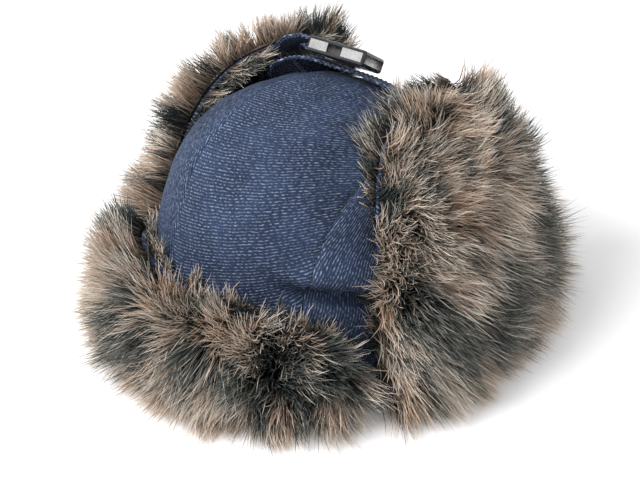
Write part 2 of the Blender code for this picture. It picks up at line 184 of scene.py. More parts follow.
def cloth_piece(name: str, outer: np.ndarray, inner: np.ndarray, uv: np.ndarray,
                marks: dict[str, np.ndarray] | None = None,
                map_name: str = CLOTH_MAP) -> bpy.types.Object:
    """A closed sheet between two grids, its four edges joined by strips.

    Args:
        name: the piece's name.
        outer: the grid of its outer face, (rows, columns, 3).
        inner: the grid of its inner face.
        uv: texture places, (rows, columns, 2), used by both faces.
        marks: named values on the grid.
        map_name: the name of the texture map.

    Returns:
        The piece.
    """
    rows, columns = outer.shape[:2]
    count = rows * columns
    face = grid_quads(rows, columns)
    numbers = np.arange(count).reshape(rows, columns)
    rim = np.concatenate([numbers[0, :-1], numbers[:-1, -1], numbers[-1, :0:-1], numbers[:0:-1, 0]])
    ahead = np.roll(rim, -1)
    strip = np.stack([ahead, rim, rim + count, ahead + count], axis=-1)
    middle = (rows // 2, columns // 2)
    a, b, d = outer[middle], outer[middle[0], middle[1] + 1], outer[middle[0] + 1, middle[1]]
    turned = np.dot(np.cross(b - a, d - a), a - inner[middle]) < 0
    quads = np.concatenate([face, face[:, ::-1] + count, strip])
    if turned:
        quads = quads[:, ::-1]
    points = np.concatenate([outer.reshape(-1, 3), inner.reshape(-1, 3)])
    doubled = {mark: np.tile(v.ravel(), 2) for mark, v in (marks or {}).items()}
    return make_piece(name, points, quads, uv=np.tile(uv.reshape(-1, 2), (2, 1)), marks=doubled,
                      map_name=map_name)


def arc_lengths(points: np.ndarray, axis: int) -> np.ndarray:
    """Distance travelled along one axis of a grid of points, from 0."""
    steps = np.linalg.norm(np.diff(points, axis=axis), axis=-1)
    pad = [(0, 0)] * steps.ndim
    pad[axis] = (1, 0)
    return np.pad(np.cumsum(steps, axis=axis), pad)


def stitches(name: str, route: np.ndarray, lift: np.ndarray, pitch: float = 0.0034,
             length: float = 0.0024, thick: float = 0.00042) -> bpy.types.Object:
    """A row of thread stitches, each a short six-sided bar that dips at both ends.

    Args:
        name: the piece's name.
        route: points along the row, (n, 3).
        lift: the cloth's outward direction at each point.
        pitch: distance from one stitch to the next.
        length: a stitch's own length.
        thick: the thread's radius.

    Returns:
        The stitching.
    """
    rings, corners = 5, 6
    run = arc_lengths(route, 0)
    starts = np.arange(pitch / 2, run[-1] - length, pitch)
    share = np.linspace(0.0, 1.0, rings)
    place = starts[:, None] + share * length
    centre = np.stack([np.interp(place, run, route[:, k]) for k in range(3)], axis=-1)
    up = unit(np.stack([np.interp(place, run, lift[:, k]) for k in range(3)], axis=-1))
    ahead = unit(np.gradient(centre, axis=1))
    side = np.cross(ahead, up)
    rise, sunk = 0.9, 0.5
    centre = centre + up * (thick * (rise * np.sin(share * math.pi) - sunk))[:, None]
    turn = np.linspace(0, 2 * math.pi, corners, endpoint=False)
    radius = thick * np.array([0.45, 0.95, 1.0, 0.95, 0.45])
    ring = (side[:, :, None] * np.cos(turn)[:, None] + up[:, :, None] * np.sin(turn)[:, None])
    points = centre[:, :, None] + ring * radius[:, None, None]
    shift = (np.arange(len(starts)) * rings * corners)[:, None, None]
    quads = (grid_quads(rings, corners, wrap=True)[:, ::-1] + shift).reshape(-1, 4)
    cap = np.array([[0, 1, 2], [0, 2, 3], [0, 3, 4], [0, 4, 5]])
    caps = np.concatenate([cap, cap[:, ::-1] + (rings - 1) * corners])
    return make_piece(name, points.reshape(-1, 3), quads, (caps + shift).reshape(-1, 3))


# ---- finishes ------------------------------------------------------------------------
class Tree:
    """A short way to add nodes to a material or a group and to link them."""

    def __init__(self, nodes: bpy.types.NodeTree) -> None:
        """Keeps the tree that new nodes go in."""
        self.nodes = nodes

    def add(self, kind: str, sockets: dict | None = None, **settings: object) -> bpy.types.Node:
        """Adds a node; sockets maps an input's name or number to a value or an output."""
        node = self.nodes.nodes.new(kind)
        for key, value in settings.items():
            setattr(node, key, value)
        for key, value in (sockets or {}).items():
            if isinstance(value, bpy.types.NodeSocket):
                self.nodes.links.new(value, node.inputs[key])
            else:
                node.inputs[key].default_value = value
        return node

    def link(self, value: bpy.types.NodeSocket, node: bpy.types.Node, name: str) -> None:
        """Links an output to a node's named input."""
        self.nodes.links.new(value, node.inputs[name])

    def maths(self, operation: str, *values: object) -> bpy.types.NodeSocket:
        """A Math node's result."""
        node = self.add("ShaderNodeMath", dict(enumerate(values)), operation=operation)
        return node.outputs[0]

    def mix(self, factor: object, first: object, second: object,
            blend: str = "MIX") -> bpy.types.NodeSocket:
        """A Mix node's colour: first where factor is 0, second where it is 1."""
        node = self.add("ShaderNodeMix", {0: factor, 6: first, 7: second}, data_type="RGBA",
                        blend_type=blend)
        return node.outputs[2]

    def ramp(self, factor: object, stops: list[tuple[float, tuple]]) -> bpy.types.NodeSocket:
        """A Color Ramp through the stops, each a place and a colour."""
        node = self.add("ShaderNodeValToRGB", {0: factor})
        elements = node.color_ramp.elements
        elements[0].position, elements[0].color = stops[0][0], (*stops[0][1], 1.0)
        elements[1].position, elements[1].color = stops[-1][0], (*stops[-1][1], 1.0)
        for place, colour in stops[1:-1]:
            elements.new(place).color = (*colour, 1.0)
        return node.outputs[0]

    def noise(self, where: object, scale: float, detail: float = 3.0) -> bpy.types.NodeSocket:
        """A Noise Texture's value."""
        node = self.add("ShaderNodeTexNoise", {"Vector": where, "Scale": scale, "Detail": detail})
        return node.outputs[0]


def new_group(name: str, inputs: dict[str, float],
              outputs: tuple[str, ...]) -> tuple[Tree, dict, dict]:
    """Starts a shader node group.

    Args:
        name: the group's name.
        inputs: its number inputs and their defaults; one named Vector is a vector.
        outputs: the names of its outputs, which are numbers.

    Returns:
        The group's tree, its inputs by name and the sockets that its outputs take.
    """
    group = bpy.data.node_groups.new(name, "ShaderNodeTree")
    for key, value in inputs.items():
        kind = "NodeSocketVector" if key == "Vector" else "NodeSocketFloat"
        socket = group.interface.new_socket(key, in_out="INPUT", socket_type=kind)
        if key != "Vector":
            socket.default_value = value
    for key in outputs:
        group.interface.new_socket(key, in_out="OUTPUT", socket_type="NodeSocketFloat")
    tree = Tree(group)
    given = tree.add("NodeGroupInput")
    result = tree.add("NodeGroupOutput")
    return tree, dict(given.outputs.items()), dict(result.inputs.items())


def weave_group() -> bpy.types.ShaderNodeTree:
    """Twill: diagonal ribs as a mask, and the flecks that their threads break up into."""
    wander_scale, wander_turns, rib_sharpness = 90.0, 0.9, 2.2
    thread_scale, thread_stretch, thread_turn = 900.0, (0.55, 1.0, 1.0), (0.0, 0.0, 0.30)
    fleck_threshold, fleck_gain = 0.44, 4.5
    tree, given, result = new_group(
        "twill_weave", {"Vector": 0.0, "Pitch": 0.0017, "Slope": 0.7}, ("Ribs", "Flecks"))
    split = tree.add("ShaderNodeSeparateXYZ", {0: given["Vector"]})
    wander = tree.noise(given["Vector"], wander_scale, 2.0)
    across = tree.maths("MULTIPLY_ADD", split.outputs[0], given["Slope"], split.outputs[1])
    turns = tree.maths("DIVIDE", across, given["Pitch"])
    turns = tree.maths("MULTIPLY_ADD", wander, wander_turns, turns)
    wave = tree.maths("SINE", tree.maths("MULTIPLY", turns, 2 * math.pi))
    ribs = tree.maths("POWER", tree.maths("MULTIPLY_ADD", wave, 0.5, 0.5), rib_sharpness)
    stretch = tree.add("ShaderNodeMapping", {"Vector": given["Vector"], "Scale": thread_stretch,
                                             "Rotation": thread_turn})
    threads = tree.noise(stretch.outputs[0], thread_scale, 1.0)
    broken = tree.maths("SUBTRACT", threads, fleck_threshold)
    flecks = tree.maths("MULTIPLY", tree.maths("MULTIPLY", ribs, broken), fleck_gain)
    tree.nodes.links.new(ribs, result["Ribs"])
    tree.nodes.links.new(tree.maths("MAXIMUM", flecks, 0.0), result["Flecks"])
    return tree.nodes


@dataclass(frozen=True)
class Finish:
    """What every finish shares: a name and the shader's own constant sockets."""

    name: str
    roughness: float = 0.8
    specular: float = 0.3
    sheen: float = 0.0

    def start(self) -> tuple[bpy.types.Material, Tree, bpy.types.Node]:
        """A new material, its tree and its Principled shader with the constants set."""
        made = bpy.data.materials.new(self.name)
        made.use_nodes = True
        shader = made.node_tree.nodes["Principled BSDF"]
        shader.inputs["Roughness"].default_value = self.roughness
        shader.inputs["Specular IOR Level"].default_value = self.specular
        shader.inputs["Sheen Weight"].default_value = self.sheen
        return made, Tree(made.node_tree), shader

    def relief(self, tree: Tree, shader: bpy.types.Node, height: object, depth: float) -> None:
        """Feeds a height through a Bump node to the shader's normal."""
        node = tree.add("ShaderNodeBump", {"Height": height, "Distance": depth, "Strength": 1.0})
        tree.link(node.outputs[0], shader, "Normal")


@dataclass(frozen=True)
class DenimFinish(Finish):
    """Dark indigo twill with pale weft flecks, worn paler beside the seams."""

    weave: bpy.types.ShaderNodeTree | None = None
    deep: tuple = (0.0090, 0.0155, 0.0380)
    worn: tuple = (0.0310, 0.0515, 0.1100)
    fleck: tuple = (0.2500, 0.3150, 0.4300)
    pitch: float = 0.0021
    slope: float = -0.28
    patch_scale: float = 38.0
    relief_depth: float = 0.00018

    def material(self) -> bpy.types.Material:
        """Builds the material."""
        made, tree, shader = self.start()
        place = tree.add("ShaderNodeUVMap", uv_map=CLOTH_MAP).outputs[0]
        seam = tree.add("ShaderNodeAttribute", attribute_name="seam").outputs["Fac"]
        twill = tree.add("ShaderNodeGroup", node_tree=self.weave)
        tree.link(place, twill, "Vector")
        twill.inputs["Pitch"].default_value = self.pitch
        twill.inputs["Slope"].default_value = self.slope
        fade_gain, fade_start, seam_fade = 1.5, -0.42, 0.35
        faded = tree.maths("MULTIPLY_ADD", tree.noise(place, self.patch_scale, 4.0), fade_gain,
                           fade_start)
        faded = tree.maths("MULTIPLY_ADD", seam, seam_fade, faded)
        ground = tree.mix(faded, (*self.deep, 1.0), (*self.worn, 1.0))
        rib_light, rib_dark = 0.30, 0.80
        shade = tree.maths("MULTIPLY_ADD", twill.outputs["Ribs"], rib_light, rib_dark)
        ribbed = tree.mix(1.0, ground, self._grey(tree, shade), "MULTIPLY")
        seam_flecks, plain_flecks = 0.5, 0.62
        strength = tree.maths("MULTIPLY_ADD", seam, seam_flecks, plain_flecks)
        flecks = tree.maths("MULTIPLY", twill.outputs["Flecks"], strength)
        colour = tree.mix(flecks, ribbed, (*self.fleck, 1.0))
        tree.link(colour, shader, "Base Color")
        self.relief(tree, shader, twill.outputs["Ribs"], self.relief_depth)
        return made

    @staticmethod
    def _grey(tree: Tree, value: bpy.types.NodeSocket) -> bpy.types.NodeSocket:
        """A grey colour of the given value."""
        return tree.add("ShaderNodeCombineColor", {0: value, 1: value, 2: value}).outputs[0]


@dataclass(frozen=True)
class FurFinish(Finish):
    """Long pile: each strand's tone runs across the map and its length up it."""

    black: tuple = ((0.0, (0.004, 0.006, 0.006)), (0.45, (0.014, 0.022, 0.023)),
                    (0.80, (0.050, 0.064, 0.062)), (1.0, (0.340, 0.325, 0.285)))
    tan: tuple = ((0.0, (0.022, 0.017, 0.013)), (0.30, (0.170, 0.125, 0.092)),
                  (0.65, (0.520, 0.425, 0.345)), (1.0, (0.950, 0.880, 0.790)))
    rust: tuple = ((0.0, (0.022, 0.013, 0.009)), (0.35, (0.170, 0.105, 0.070)),
                   (0.70, (0.410, 0.280, 0.200)), (1.0, (0.780, 0.640, 0.510)))
    tan_from: tuple = (0.36, 0.56)
    rust_from: tuple = (0.66, 0.92)

    def material(self) -> bpy.types.Material:
        """Builds the material."""
        made, tree, shader = self.start()
        place = tree.add("ShaderNodeUVMap", uv_map=FUR_MAP).outputs[0]
        split = tree.add("ShaderNodeSeparateXYZ", {0: place})
        tone, along = split.outputs[0], split.outputs[1]
        dark, pale, brown = (tree.ramp(along, list(stops))
                             for stops in (self.black, self.tan, self.rust))
        to_pale, to_brown = (
            tree.add("ShaderNodeMapRange", {0: tone, 1: low, 2: high}).outputs[0]
            for low, high in (self.tan_from, self.rust_from))
        colour = tree.mix(to_brown, tree.mix(to_pale, dark, pale), brown)
        tree.link(colour, shader, "Base Color")
        return made


@dataclass(frozen=True)
class ClothFinish(Finish):
    """A plain woven cloth of one colour, with a fine weave and soft mottling."""

    weave: bpy.types.ShaderNodeTree | None = None
    colour: tuple = (0.02, 0.02, 0.024)
    pitch: float = 0.0009
    relief_depth: float = 0.00012

    def material(self) -> bpy.types.Material:
        """Builds the material."""
        made, tree, shader = self.start()
        place = tree.add("ShaderNodeTexCoord").outputs["Object"]
        twill = tree.add("ShaderNodeGroup", node_tree=self.weave)
        tree.link(place, twill, "Vector")
        twill.inputs["Pitch"].default_value = self.pitch
        mottle_scale, mottle_tint, rib_tint, paler, lift = 60.0, 0.5, 0.35, 1.9, 0.01
        mottle = tree.noise(place, mottle_scale, 4.0)
        pale = tuple(min(1.0, channel * paler + lift) for channel in self.colour)
        tint = tree.maths("MULTIPLY_ADD", twill.outputs["Ribs"], rib_tint,
                          tree.maths("MULTIPLY", mottle, mottle_tint))
        colour = tree.mix(tint, (*self.colour, 1.0), (*pale, 1.0))
        tree.link(colour, shader, "Base Color")
        self.relief(tree, shader, twill.outputs["Ribs"], self.relief_depth)
        return made


@dataclass(frozen=True)
class FibreFinish(Finish):
    """Loose white wadding: tangled fibres as a soft, deep relief."""

    fibre_scale: float = 420.0
    relief_depth: float = 0.0012
    colours: tuple = ((0.3, (0.62, 0.61, 0.58)), (0.7, (0.88, 0.87, 0.84)))

    def material(self) -> bpy.types.Material:
        """Builds the material."""
        made, tree, shader = self.start()
        place = tree.add("ShaderNodeTexCoord").outputs["Object"]
        fibres = tree.noise(place, self.fibre_scale, 6.0)
        tree.link(tree.ramp(fibres, list(self.colours)), shader, "Base Color")
        self.relief(tree, shader, fibres, self.relief_depth)
        return made


@dataclass(frozen=True)
class PlasticFinish(Finish):
    """Moulded black plastic: a fine spark-eroded grain, rubbed glossier in places."""

    grain_scale: float = 2600.0
    rub_scale: float = 140.0
    relief_depth: float = 0.00005
    colours: tuple = ((0.35, (0.008, 0.008, 0.009)), (0.75, (0.022, 0.022, 0.024)))
    rubbed_gloss: tuple = (0.12, 0.28)

    def material(self) -> bpy.types.Material:
        """Builds the material."""
        made, tree, shader = self.start()
        place = tree.add("ShaderNodeTexCoord").outputs["Object"]
        grain = tree.noise(place, self.grain_scale, 2.0)
        rubbed = tree.noise(place, self.rub_scale, 4.0)
        colour = tree.ramp(rubbed, list(self.colours))
        glossy, dull = self.rubbed_gloss
        gloss = tree.add("ShaderNodeMapRange", {0: rubbed, 1: 0.3, 2: 0.7, 3: glossy, 4: dull})
        tree.link(colour, shader, "Base Color")
        tree.link(gloss.outputs[0], shader, "Roughness")
        self.relief(tree, shader, grain, self.relief_depth)
        return made


@dataclass(frozen=True)
class Wardrobe:
    """Every finish, built once and handed to the sub-assemblies."""

    denim: bpy.types.Material
    fur: bpy.types.Material
    lining: bpy.types.Material
    wadding: bpy.types.Material
    band: bpy.types.Material
    buckle: bpy.types.Material
    label: bpy.types.Material
    thread: bpy.types.Material

    @classmethod
    def make(cls) -> "Wardrobe":
        """Builds the materials round one shared weave."""
        weave = weave_group()
        return cls(
            denim=DenimFinish("denim_twill", 0.88, 0.22, weave=weave).material(),
            fur=FurFinish("fur_pile", 0.62, 0.25).material(),
            lining=ClothFinish("quilted_satin", 0.45, 0.4, weave=weave).material(),
            wadding=FibreFinish("wadding_fibre", 1.0, 0.1).material(),
            band=ClothFinish("brushed_cotton", 0.9, 0.2, weave=weave, pitch=0.0012,
                             colour=(0.028, 0.028, 0.032), relief_depth=0.0002).material(),
            buckle=PlasticFinish("moulded_plastic", 0.35, 0.5).material(),
            label=ClothFinish("woven_label", 0.6, 0.3, weave=weave, pitch=0.0006,
                              colour=(0.42, 0.42, 0.40)).material(),
            thread=ClothFinish("pale_thread", 0.8, 0.3, weave=weave, pitch=0.0004,
                               colour=(0.10, 0.12, 0.17)).material(),
        )


def dress(piece: bpy.types.Object, finish: bpy.types.Material, body: str,
          replaces: tuple[str, ...] = ()) -> bpy.types.Object:
    """Gives a new piece its finish, its body and the nodes it stands for."""
    piece.data.materials.clear()
    piece.data.materials.append(finish)
    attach(piece, body)
    if replaces:
        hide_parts(*replaces)
    LOG.info("%s: %d faces on %s", piece.name, len(piece.data.polygons), body)
    return piece


def dress_node(node: str, finish: bpy.types.Material) -> None:
    """Gives a CAD node that stays in view a better finish."""
    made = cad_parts[node]
    made.data.materials.clear()
    made.data.materials.append(finish)
    LOG.info("%s: frame node", node)


# ---- crown ---------------------------------------------------------------------------
@dataclass
class Crown:
    """The padded crown: three denim panels, wadding, quilted lining and sweatband.

    Its dome follows (1 - h^2)^(2/f) = ((x - lean h) / A)^2 + (y / B)^2, where h is the
    share of the rise from the shoulder to the top and f the fullness.
    """

    finishes: Wardrobe
    shoulder: float = 0.030
    fullness: float = 2.35
    lean: float = 0.008
    denim: float = 0.0010
    wadding: tuple = (0.0014, 0.0046)
    lining: float = 0.0050
    band: tuple = (0.0062, 0.0084)
    band_top: float = 0.030
    hem_turn: float = 0.0036
    half_width: float = field(init=False)
    half_length: float = field(init=False)
    top: float = field(init=False)
    hem: float = field(init=False)
    seams: tuple = field(init=False)
    quilt_pitch: float = 0.030
    quilt_depth: float = 0.0016
    crease_level: float = 0.066
    crease_turns: tuple = (30.0, 50.0, 95.0, 125.0)
    crease_waves: tuple = ((0.0, 0.0060, -0.0115), (0.0145, 0.0110, 0.0075),
                           (-0.022, 0.010, 0.0012))
    dent_line: tuple = ((0.0422, -0.0828, 0.104), (0.0769, -0.0609, 0.0838))
    dent_centre: tuple = (0.0655, -0.0700, 0.0945)
    dents: tuple = ((0.002, 0.013, 0.0065, -0.0034), (-0.018, 0.022, 0.0040, -0.0010))
    gentle: tuple = ((0.075, 0.0011), (0.028, 0.00035))
    valleys: tuple = ((0.0013, -0.0011), (0.008, -0.0006))
    puff_centre: tuple = (-0.070, -0.036, 0.116)
    puff: tuple = (0.045, 0.0070)

    def __post_init__(self) -> None:
        """Reads the crown's sizes and its seams' places from the frame."""
        low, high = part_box("crown_centre_panel")
        self.half_width = -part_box("crown_side_panel_right")[0][0]
        self.half_length, self.top, self.hem = high[1], high[2], low[2]
        self.seams = (low[0] - 0.0003, high[0] + 0.0003)

    def share_of_rise(self, x: np.ndarray, y: np.ndarray, inset: float) -> np.ndarray:
        """The dome's h over each place in plan, found by halving an interval."""
        a, b = self.half_width - inset, self.half_length - inset
        low, high = np.zeros_like(x), np.ones_like(x)
        for _ in range(34):
            h = (low + high) / 2
            outside = ((x - self.lean * h) / a) ** 2 + (y / b) ** 2 > (1 - h * h) ** (
                2 / self.fullness)
            low, high = np.where(outside, low, h), np.where(outside, h, high)
        return (low + high) / 2

    def centre_grid(self, inset: float, low_x: float, high_x: float, columns: int,
                    rows: int) -> np.ndarray:
        """The centre panel: each row runs over the top at constant x, from hem to hem.

        Along a row the first and last shares climb the upright wall, and between them
        y goes as minus cosine, which spaces points evenly over the dome.
        """
        x = np.linspace(low_x, high_x, columns)[:, None]
        run = np.linspace(0.0, 1.0, rows)[None, :]
        wall = 0.09
        over = np.clip((run - wall) / (1 - 2 * wall), 0.0, 1.0)
        b = (self.half_length - inset) * np.sqrt(1 - (x / (self.half_width - inset)) ** 2)
        y = -b * np.cos(over * math.pi)
        x = x + 0 * y
        rise = self.top - inset - self.shoulder
        z = self.shoulder + rise * self.share_of_rise(x, y * 0.99999, inset)
        edge = np.minimum(run, 1 - run) / wall
        z = np.where(edge < 1, self.hem + (self.shoulder - self.hem) * edge, z)
        return np.stack([x, y, z], axis=-1)

    def side_grid(self, inset: float, seam: float, columns: int, rows: int) -> np.ndarray:
        """A side panel: level curves of the crown beyond a seam, from hem to seam's top.

        A curve runs between the two places where the ring's x meets the seam. On the
        right side the ring is read in mirror image, with the lean turned round.
        """
        side = math.copysign(1.0, seam)
        a, b = self.half_width - inset, self.half_length - inset
        lean, reach = self.lean * side, abs(seam)
        low, high = 0.0, math.pi / 2 - 1e-4
        for _ in range(40):
            middle = (low + high) / 2
            width = a * math.cos(middle) ** (2 / self.fullness) + lean * math.sin(middle)
            low, high = (middle, high) if width > reach else (low, middle)
        run = np.linspace(0.0, 1.0, rows)[:, None]
        wall = 0.14
        climb = np.clip((run - wall) / (1 - wall), 0.0, 1.0)
        lift = low * (1 - (1 - climb) ** 1.7) * 0.99995
        h = np.sin(lift)
        r = np.cos(lift) ** (2 / self.fullness)
        start = np.arcsin(np.clip((reach - lean * h) / (a * r), -1.0, 1.0))
        turn = start + (math.pi - 2 * start) * np.linspace(0.0, 1.0, columns)[None, :]
        x = side * (a * r * np.sin(turn) + lean * h)
        y = -b * r * np.cos(turn)
        z = self.shoulder + (self.top - inset - self.shoulder) * h + 0 * turn
        z = np.where(run < wall, self.hem + (self.shoulder - self.hem) * run / wall, z)
        return np.stack([x, y, z], axis=-1)

    def normals(self, points: np.ndarray) -> np.ndarray:
        """Outward unit normals: the slopes of the dome's formula at places on it."""
        x, y, z = points[..., 0], points[..., 1], points[..., 2]
        rise = self.top - self.shoulder
        h = np.clip((z - self.shoulder) / rise, 0.0, 0.9999)
        across = 2 * (x - self.lean * h) / self.half_width ** 2
        power = 2 / self.fullness
        climb = (2 * power * h * (1 - h * h) ** (power - 1) - self.lean * across) / rise
        return unit(np.stack([across, 2 * y / self.half_length ** 2,
                              np.where(h > 0, climb, 0.0)], axis=-1))

    def folds(self, points: np.ndarray) -> np.ndarray:
        """How far the slack cloth stands out (+) or sinks in (-) at each place.

        A deep crease runs round the lower left front, a dimple lies above it on the
        left seam, seams lie in narrow valleys, the slack cloth stands out on the upper
        right, and the rest ripples gently.
        """
        x, y, z = points[..., 0], points[..., 1], points[..., 2]
        turn = np.degrees(np.arctan2(x / self.half_width, -y / self.half_length))
        fall, middle, waver, waves = 0.00055, 57.0, 0.0022, 7.0
        level = (self.crease_level - fall * (turn - middle)
                 + waver * np.sin(np.radians(turn * waves)))
        first, full, fade, last = self.crease_turns
        window = smooth_step(first, full, turn) * (1 - smooth_step(fade, last, turn))
        crease = sum(depth * bump(z - level - above, width)
                     for above, width, depth in self.crease_waves)
        along = unit(np.subtract(*self.dent_line[::-1]))
        offset = points - np.array(self.dent_centre)
        forward = offset @ along
        aside = np.linalg.norm(offset - forward[..., None] * along, axis=-1)
        dents = sum(depth * bump(forward - ahead, length) * bump(aside, width)
                    for ahead, length, width, depth in self.dents)
        gentle = sum(depth * ripple(points, wavelength, SEED + number)
                     for number, (wavelength, depth) in enumerate(self.gentle))
        valley = sum(depth * bump(x - seam, width)
                     for seam in self.seams for width, depth in self.valleys)
        width, height = self.puff
        puff = height * bump(np.linalg.norm(points - np.array(self.puff_centre), axis=-1), width)
        return window * crease + dents + gentle + valley + puff

    def layer(self, name: str, grid: np.ndarray, near: float, far: float,
              quilted: bool = False) -> bpy.types.Object:
        """One layer over a grid of the denim's outside, between two insets.

        Args:
            name: the piece's name.
            grid: places on the outer surface.
            near: inset of the layer's outer face.
            far: inset of its inner face.
            quilted: whether the inner face is quilted in diamonds and the hem turned out to
                meet the denim.

        Returns:
            The piece.
        """
        normals = self.normals(grid)
        moved = grid + normals * self.folds(grid)[..., None]
        along, across = arc_lengths(grid, 0), arc_lengths(grid, 1)
        depth, start = np.full(grid.shape[:2], far), np.full(grid.shape[:2], near)
        if quilted:
            x, y, z = grid[..., 0], grid[..., 1], grid[..., 2]
            first = np.abs(np.sin((x + y + z) * math.pi / self.quilt_pitch))
            second = np.abs(np.sin((x - y) * math.pi / self.quilt_pitch))
            fade, roundness, lowest, gap = 0.008, 0.6, 0.0004, 0.0003
            above = smooth_step(self.band_top, self.band_top + fade, z)
            depth = far + self.quilt_depth * np.minimum(first, second) ** roundness * above
            start = np.where(z < self.hem + lowest, self.denim + gap, near)
        seam = sum(0.4 * bump(grid[..., 0] - place, 0.004) for place in self.seams)
        uv = np.stack([0.2 + along, 0.2 + across], axis=-1)
        return cloth_piece(name, moved - normals * start[..., None],
                           moved - normals * depth[..., None], uv,
                           {"seam": np.clip(seam, 0, 1)})

    def panels(self, rows: int, columns: int) -> dict[str, np.ndarray]:
        """The grids of the three panels, keyed by how a panel's name ends."""
        low, high = self.seams
        half = 0.0002
        return {
            "centre_panel": self.centre_grid(0.0, low + half, high - half, columns, rows),
            "side_panel_left": self.side_grid(0.0, high + half, columns, rows),
            "side_panel_right": self.side_grid(0.0, low - half, columns, rows),
        }

    def sweatband(self) -> bpy.types.Object:
        """A band round the inside of the opening, soft at both edges, with a sewn row."""
        squareness, fullness, gather, gathers = 0.25, 0.7, 0.0002, 43
        turn = np.linspace(0, 2 * math.pi, 160, endpoint=False)[None, :]
        profile = np.linspace(0, 2 * math.pi, 28, endpoint=False)[:, None]
        middle, half = (self.hem + self.band_top) / 2, (self.band_top - self.hem) / 2
        squared = np.sign(np.sin(profile)) * np.abs(np.sin(profile)) ** squareness
        deep = np.sign(np.cos(profile)) * np.abs(np.cos(profile)) ** fullness
        z = middle + half * squared + 0 * turn
        inset = (sum(self.band) / 2 + (self.band[1] - self.band[0]) / 2 * deep
                 + gather * np.sin(turn * gathers) * (deep > 0.5))
        x = (self.half_width - inset) * np.sin(turn)
        y = -(self.half_length - inset) * np.cos(turn)
        points = np.stack([x, y, z], axis=-1)
        quads = grid_quads(*points.shape[:2], wrap=True, close=True)
        return make_piece("sweatband_cloth", points.reshape(-1, 3), quads)

    def band_stitching(self) -> bpy.types.Object:
        """The row of thread that holds the sweatband, near its top."""
        turn = np.linspace(0, 2 * math.pi, 240)
        inset = self.band[1] + 0.0001
        route = np.stack([(self.half_width - inset) * np.sin(turn),
                          -(self.half_length - inset) * np.cos(turn),
                          np.full_like(turn, self.band_top - 0.005)], axis=-1)
        inward = -unit(route * np.array([1.0, 1.0, 0.0]))
        return stitches("sweatband_stitching", route, inward)

    def build(self) -> None:
        """Makes and dresses every layer of the crown."""
        wear = self.finishes
        for ending, grid in self.panels(134, 88).items():
            piece = self.layer(f"crown_{ending}_denim", grid, 0.0, self.denim)
            dress(piece, wear.denim, "crown", (f"crown_{ending}",))
            piece = self.layer(f"lining_{ending}_quilt", grid, self.lining,
                               self.lining + 0.0008, quilted=True)
            dress(piece, wear.lining, "crown", (f"lining_{ending}",))
            grid[..., 2] = np.maximum(grid[..., 2], self.hem + self.hem_turn)
            piece = self.layer(f"wadding_{ending}", grid, *self.wadding)
            dress(piece, wear.wadding, "crown", ("crown_wadding",))
        dress(self.sweatband(), wear.band, "crown", ("sweatband",))
        dress(self.band_stitching(), wear.thread, "crown")
        dress_node("size_label", wear.label)


# ---- flaps ---------------------------------------------------------------------------
@dataclass(frozen=True)
class Patch:
    """A soft patch of another tone: its place and widths as shares of the flap."""

    across: float
    up: float
    wide: float
    tall: float
    change: float


EAR_PATCHES = (
    Patch(0.0, 0.66, 0.40, 0.26, 0.24), Patch(-0.20, 0.22, 0.60, 0.16, -0.36),
    Patch(0.62, 0.50, 0.22, 0.25, -0.22), Patch(0.0, 0.0, 1.5, 0.09, 0.38),
    Patch(-0.90, 0.50, 0.16, 0.60, 0.10), Patch(0.1, 1.0, 0.6, 0.14, 0.12))
VISOR_PATCHES = (
    Patch(-0.75, 0.40, 0.40, 0.70, 0.16), Patch(0.0, 0.0, 1.5, 0.24, 0.36),
    Patch(-0.05, 0.85, 0.13, 0.15, -0.22), Patch(0.20, 0.66, 0.14, 0.16, -0.24),
    Patch(0.42, 0.52, 0.15, 0.18, -0.26), Patch(0.72, 0.38, 0.20, 0.24, -0.28))


@dataclass
class Locks:
    """Locks of fur as arrays: roots, directions there, how far each reaches, and tones."""

    root: np.ndarray
    sideways: np.ndarray
    upward: np.ndarray
    normal: np.ndarray
    reach: np.ndarray
    tone: np.ndarray


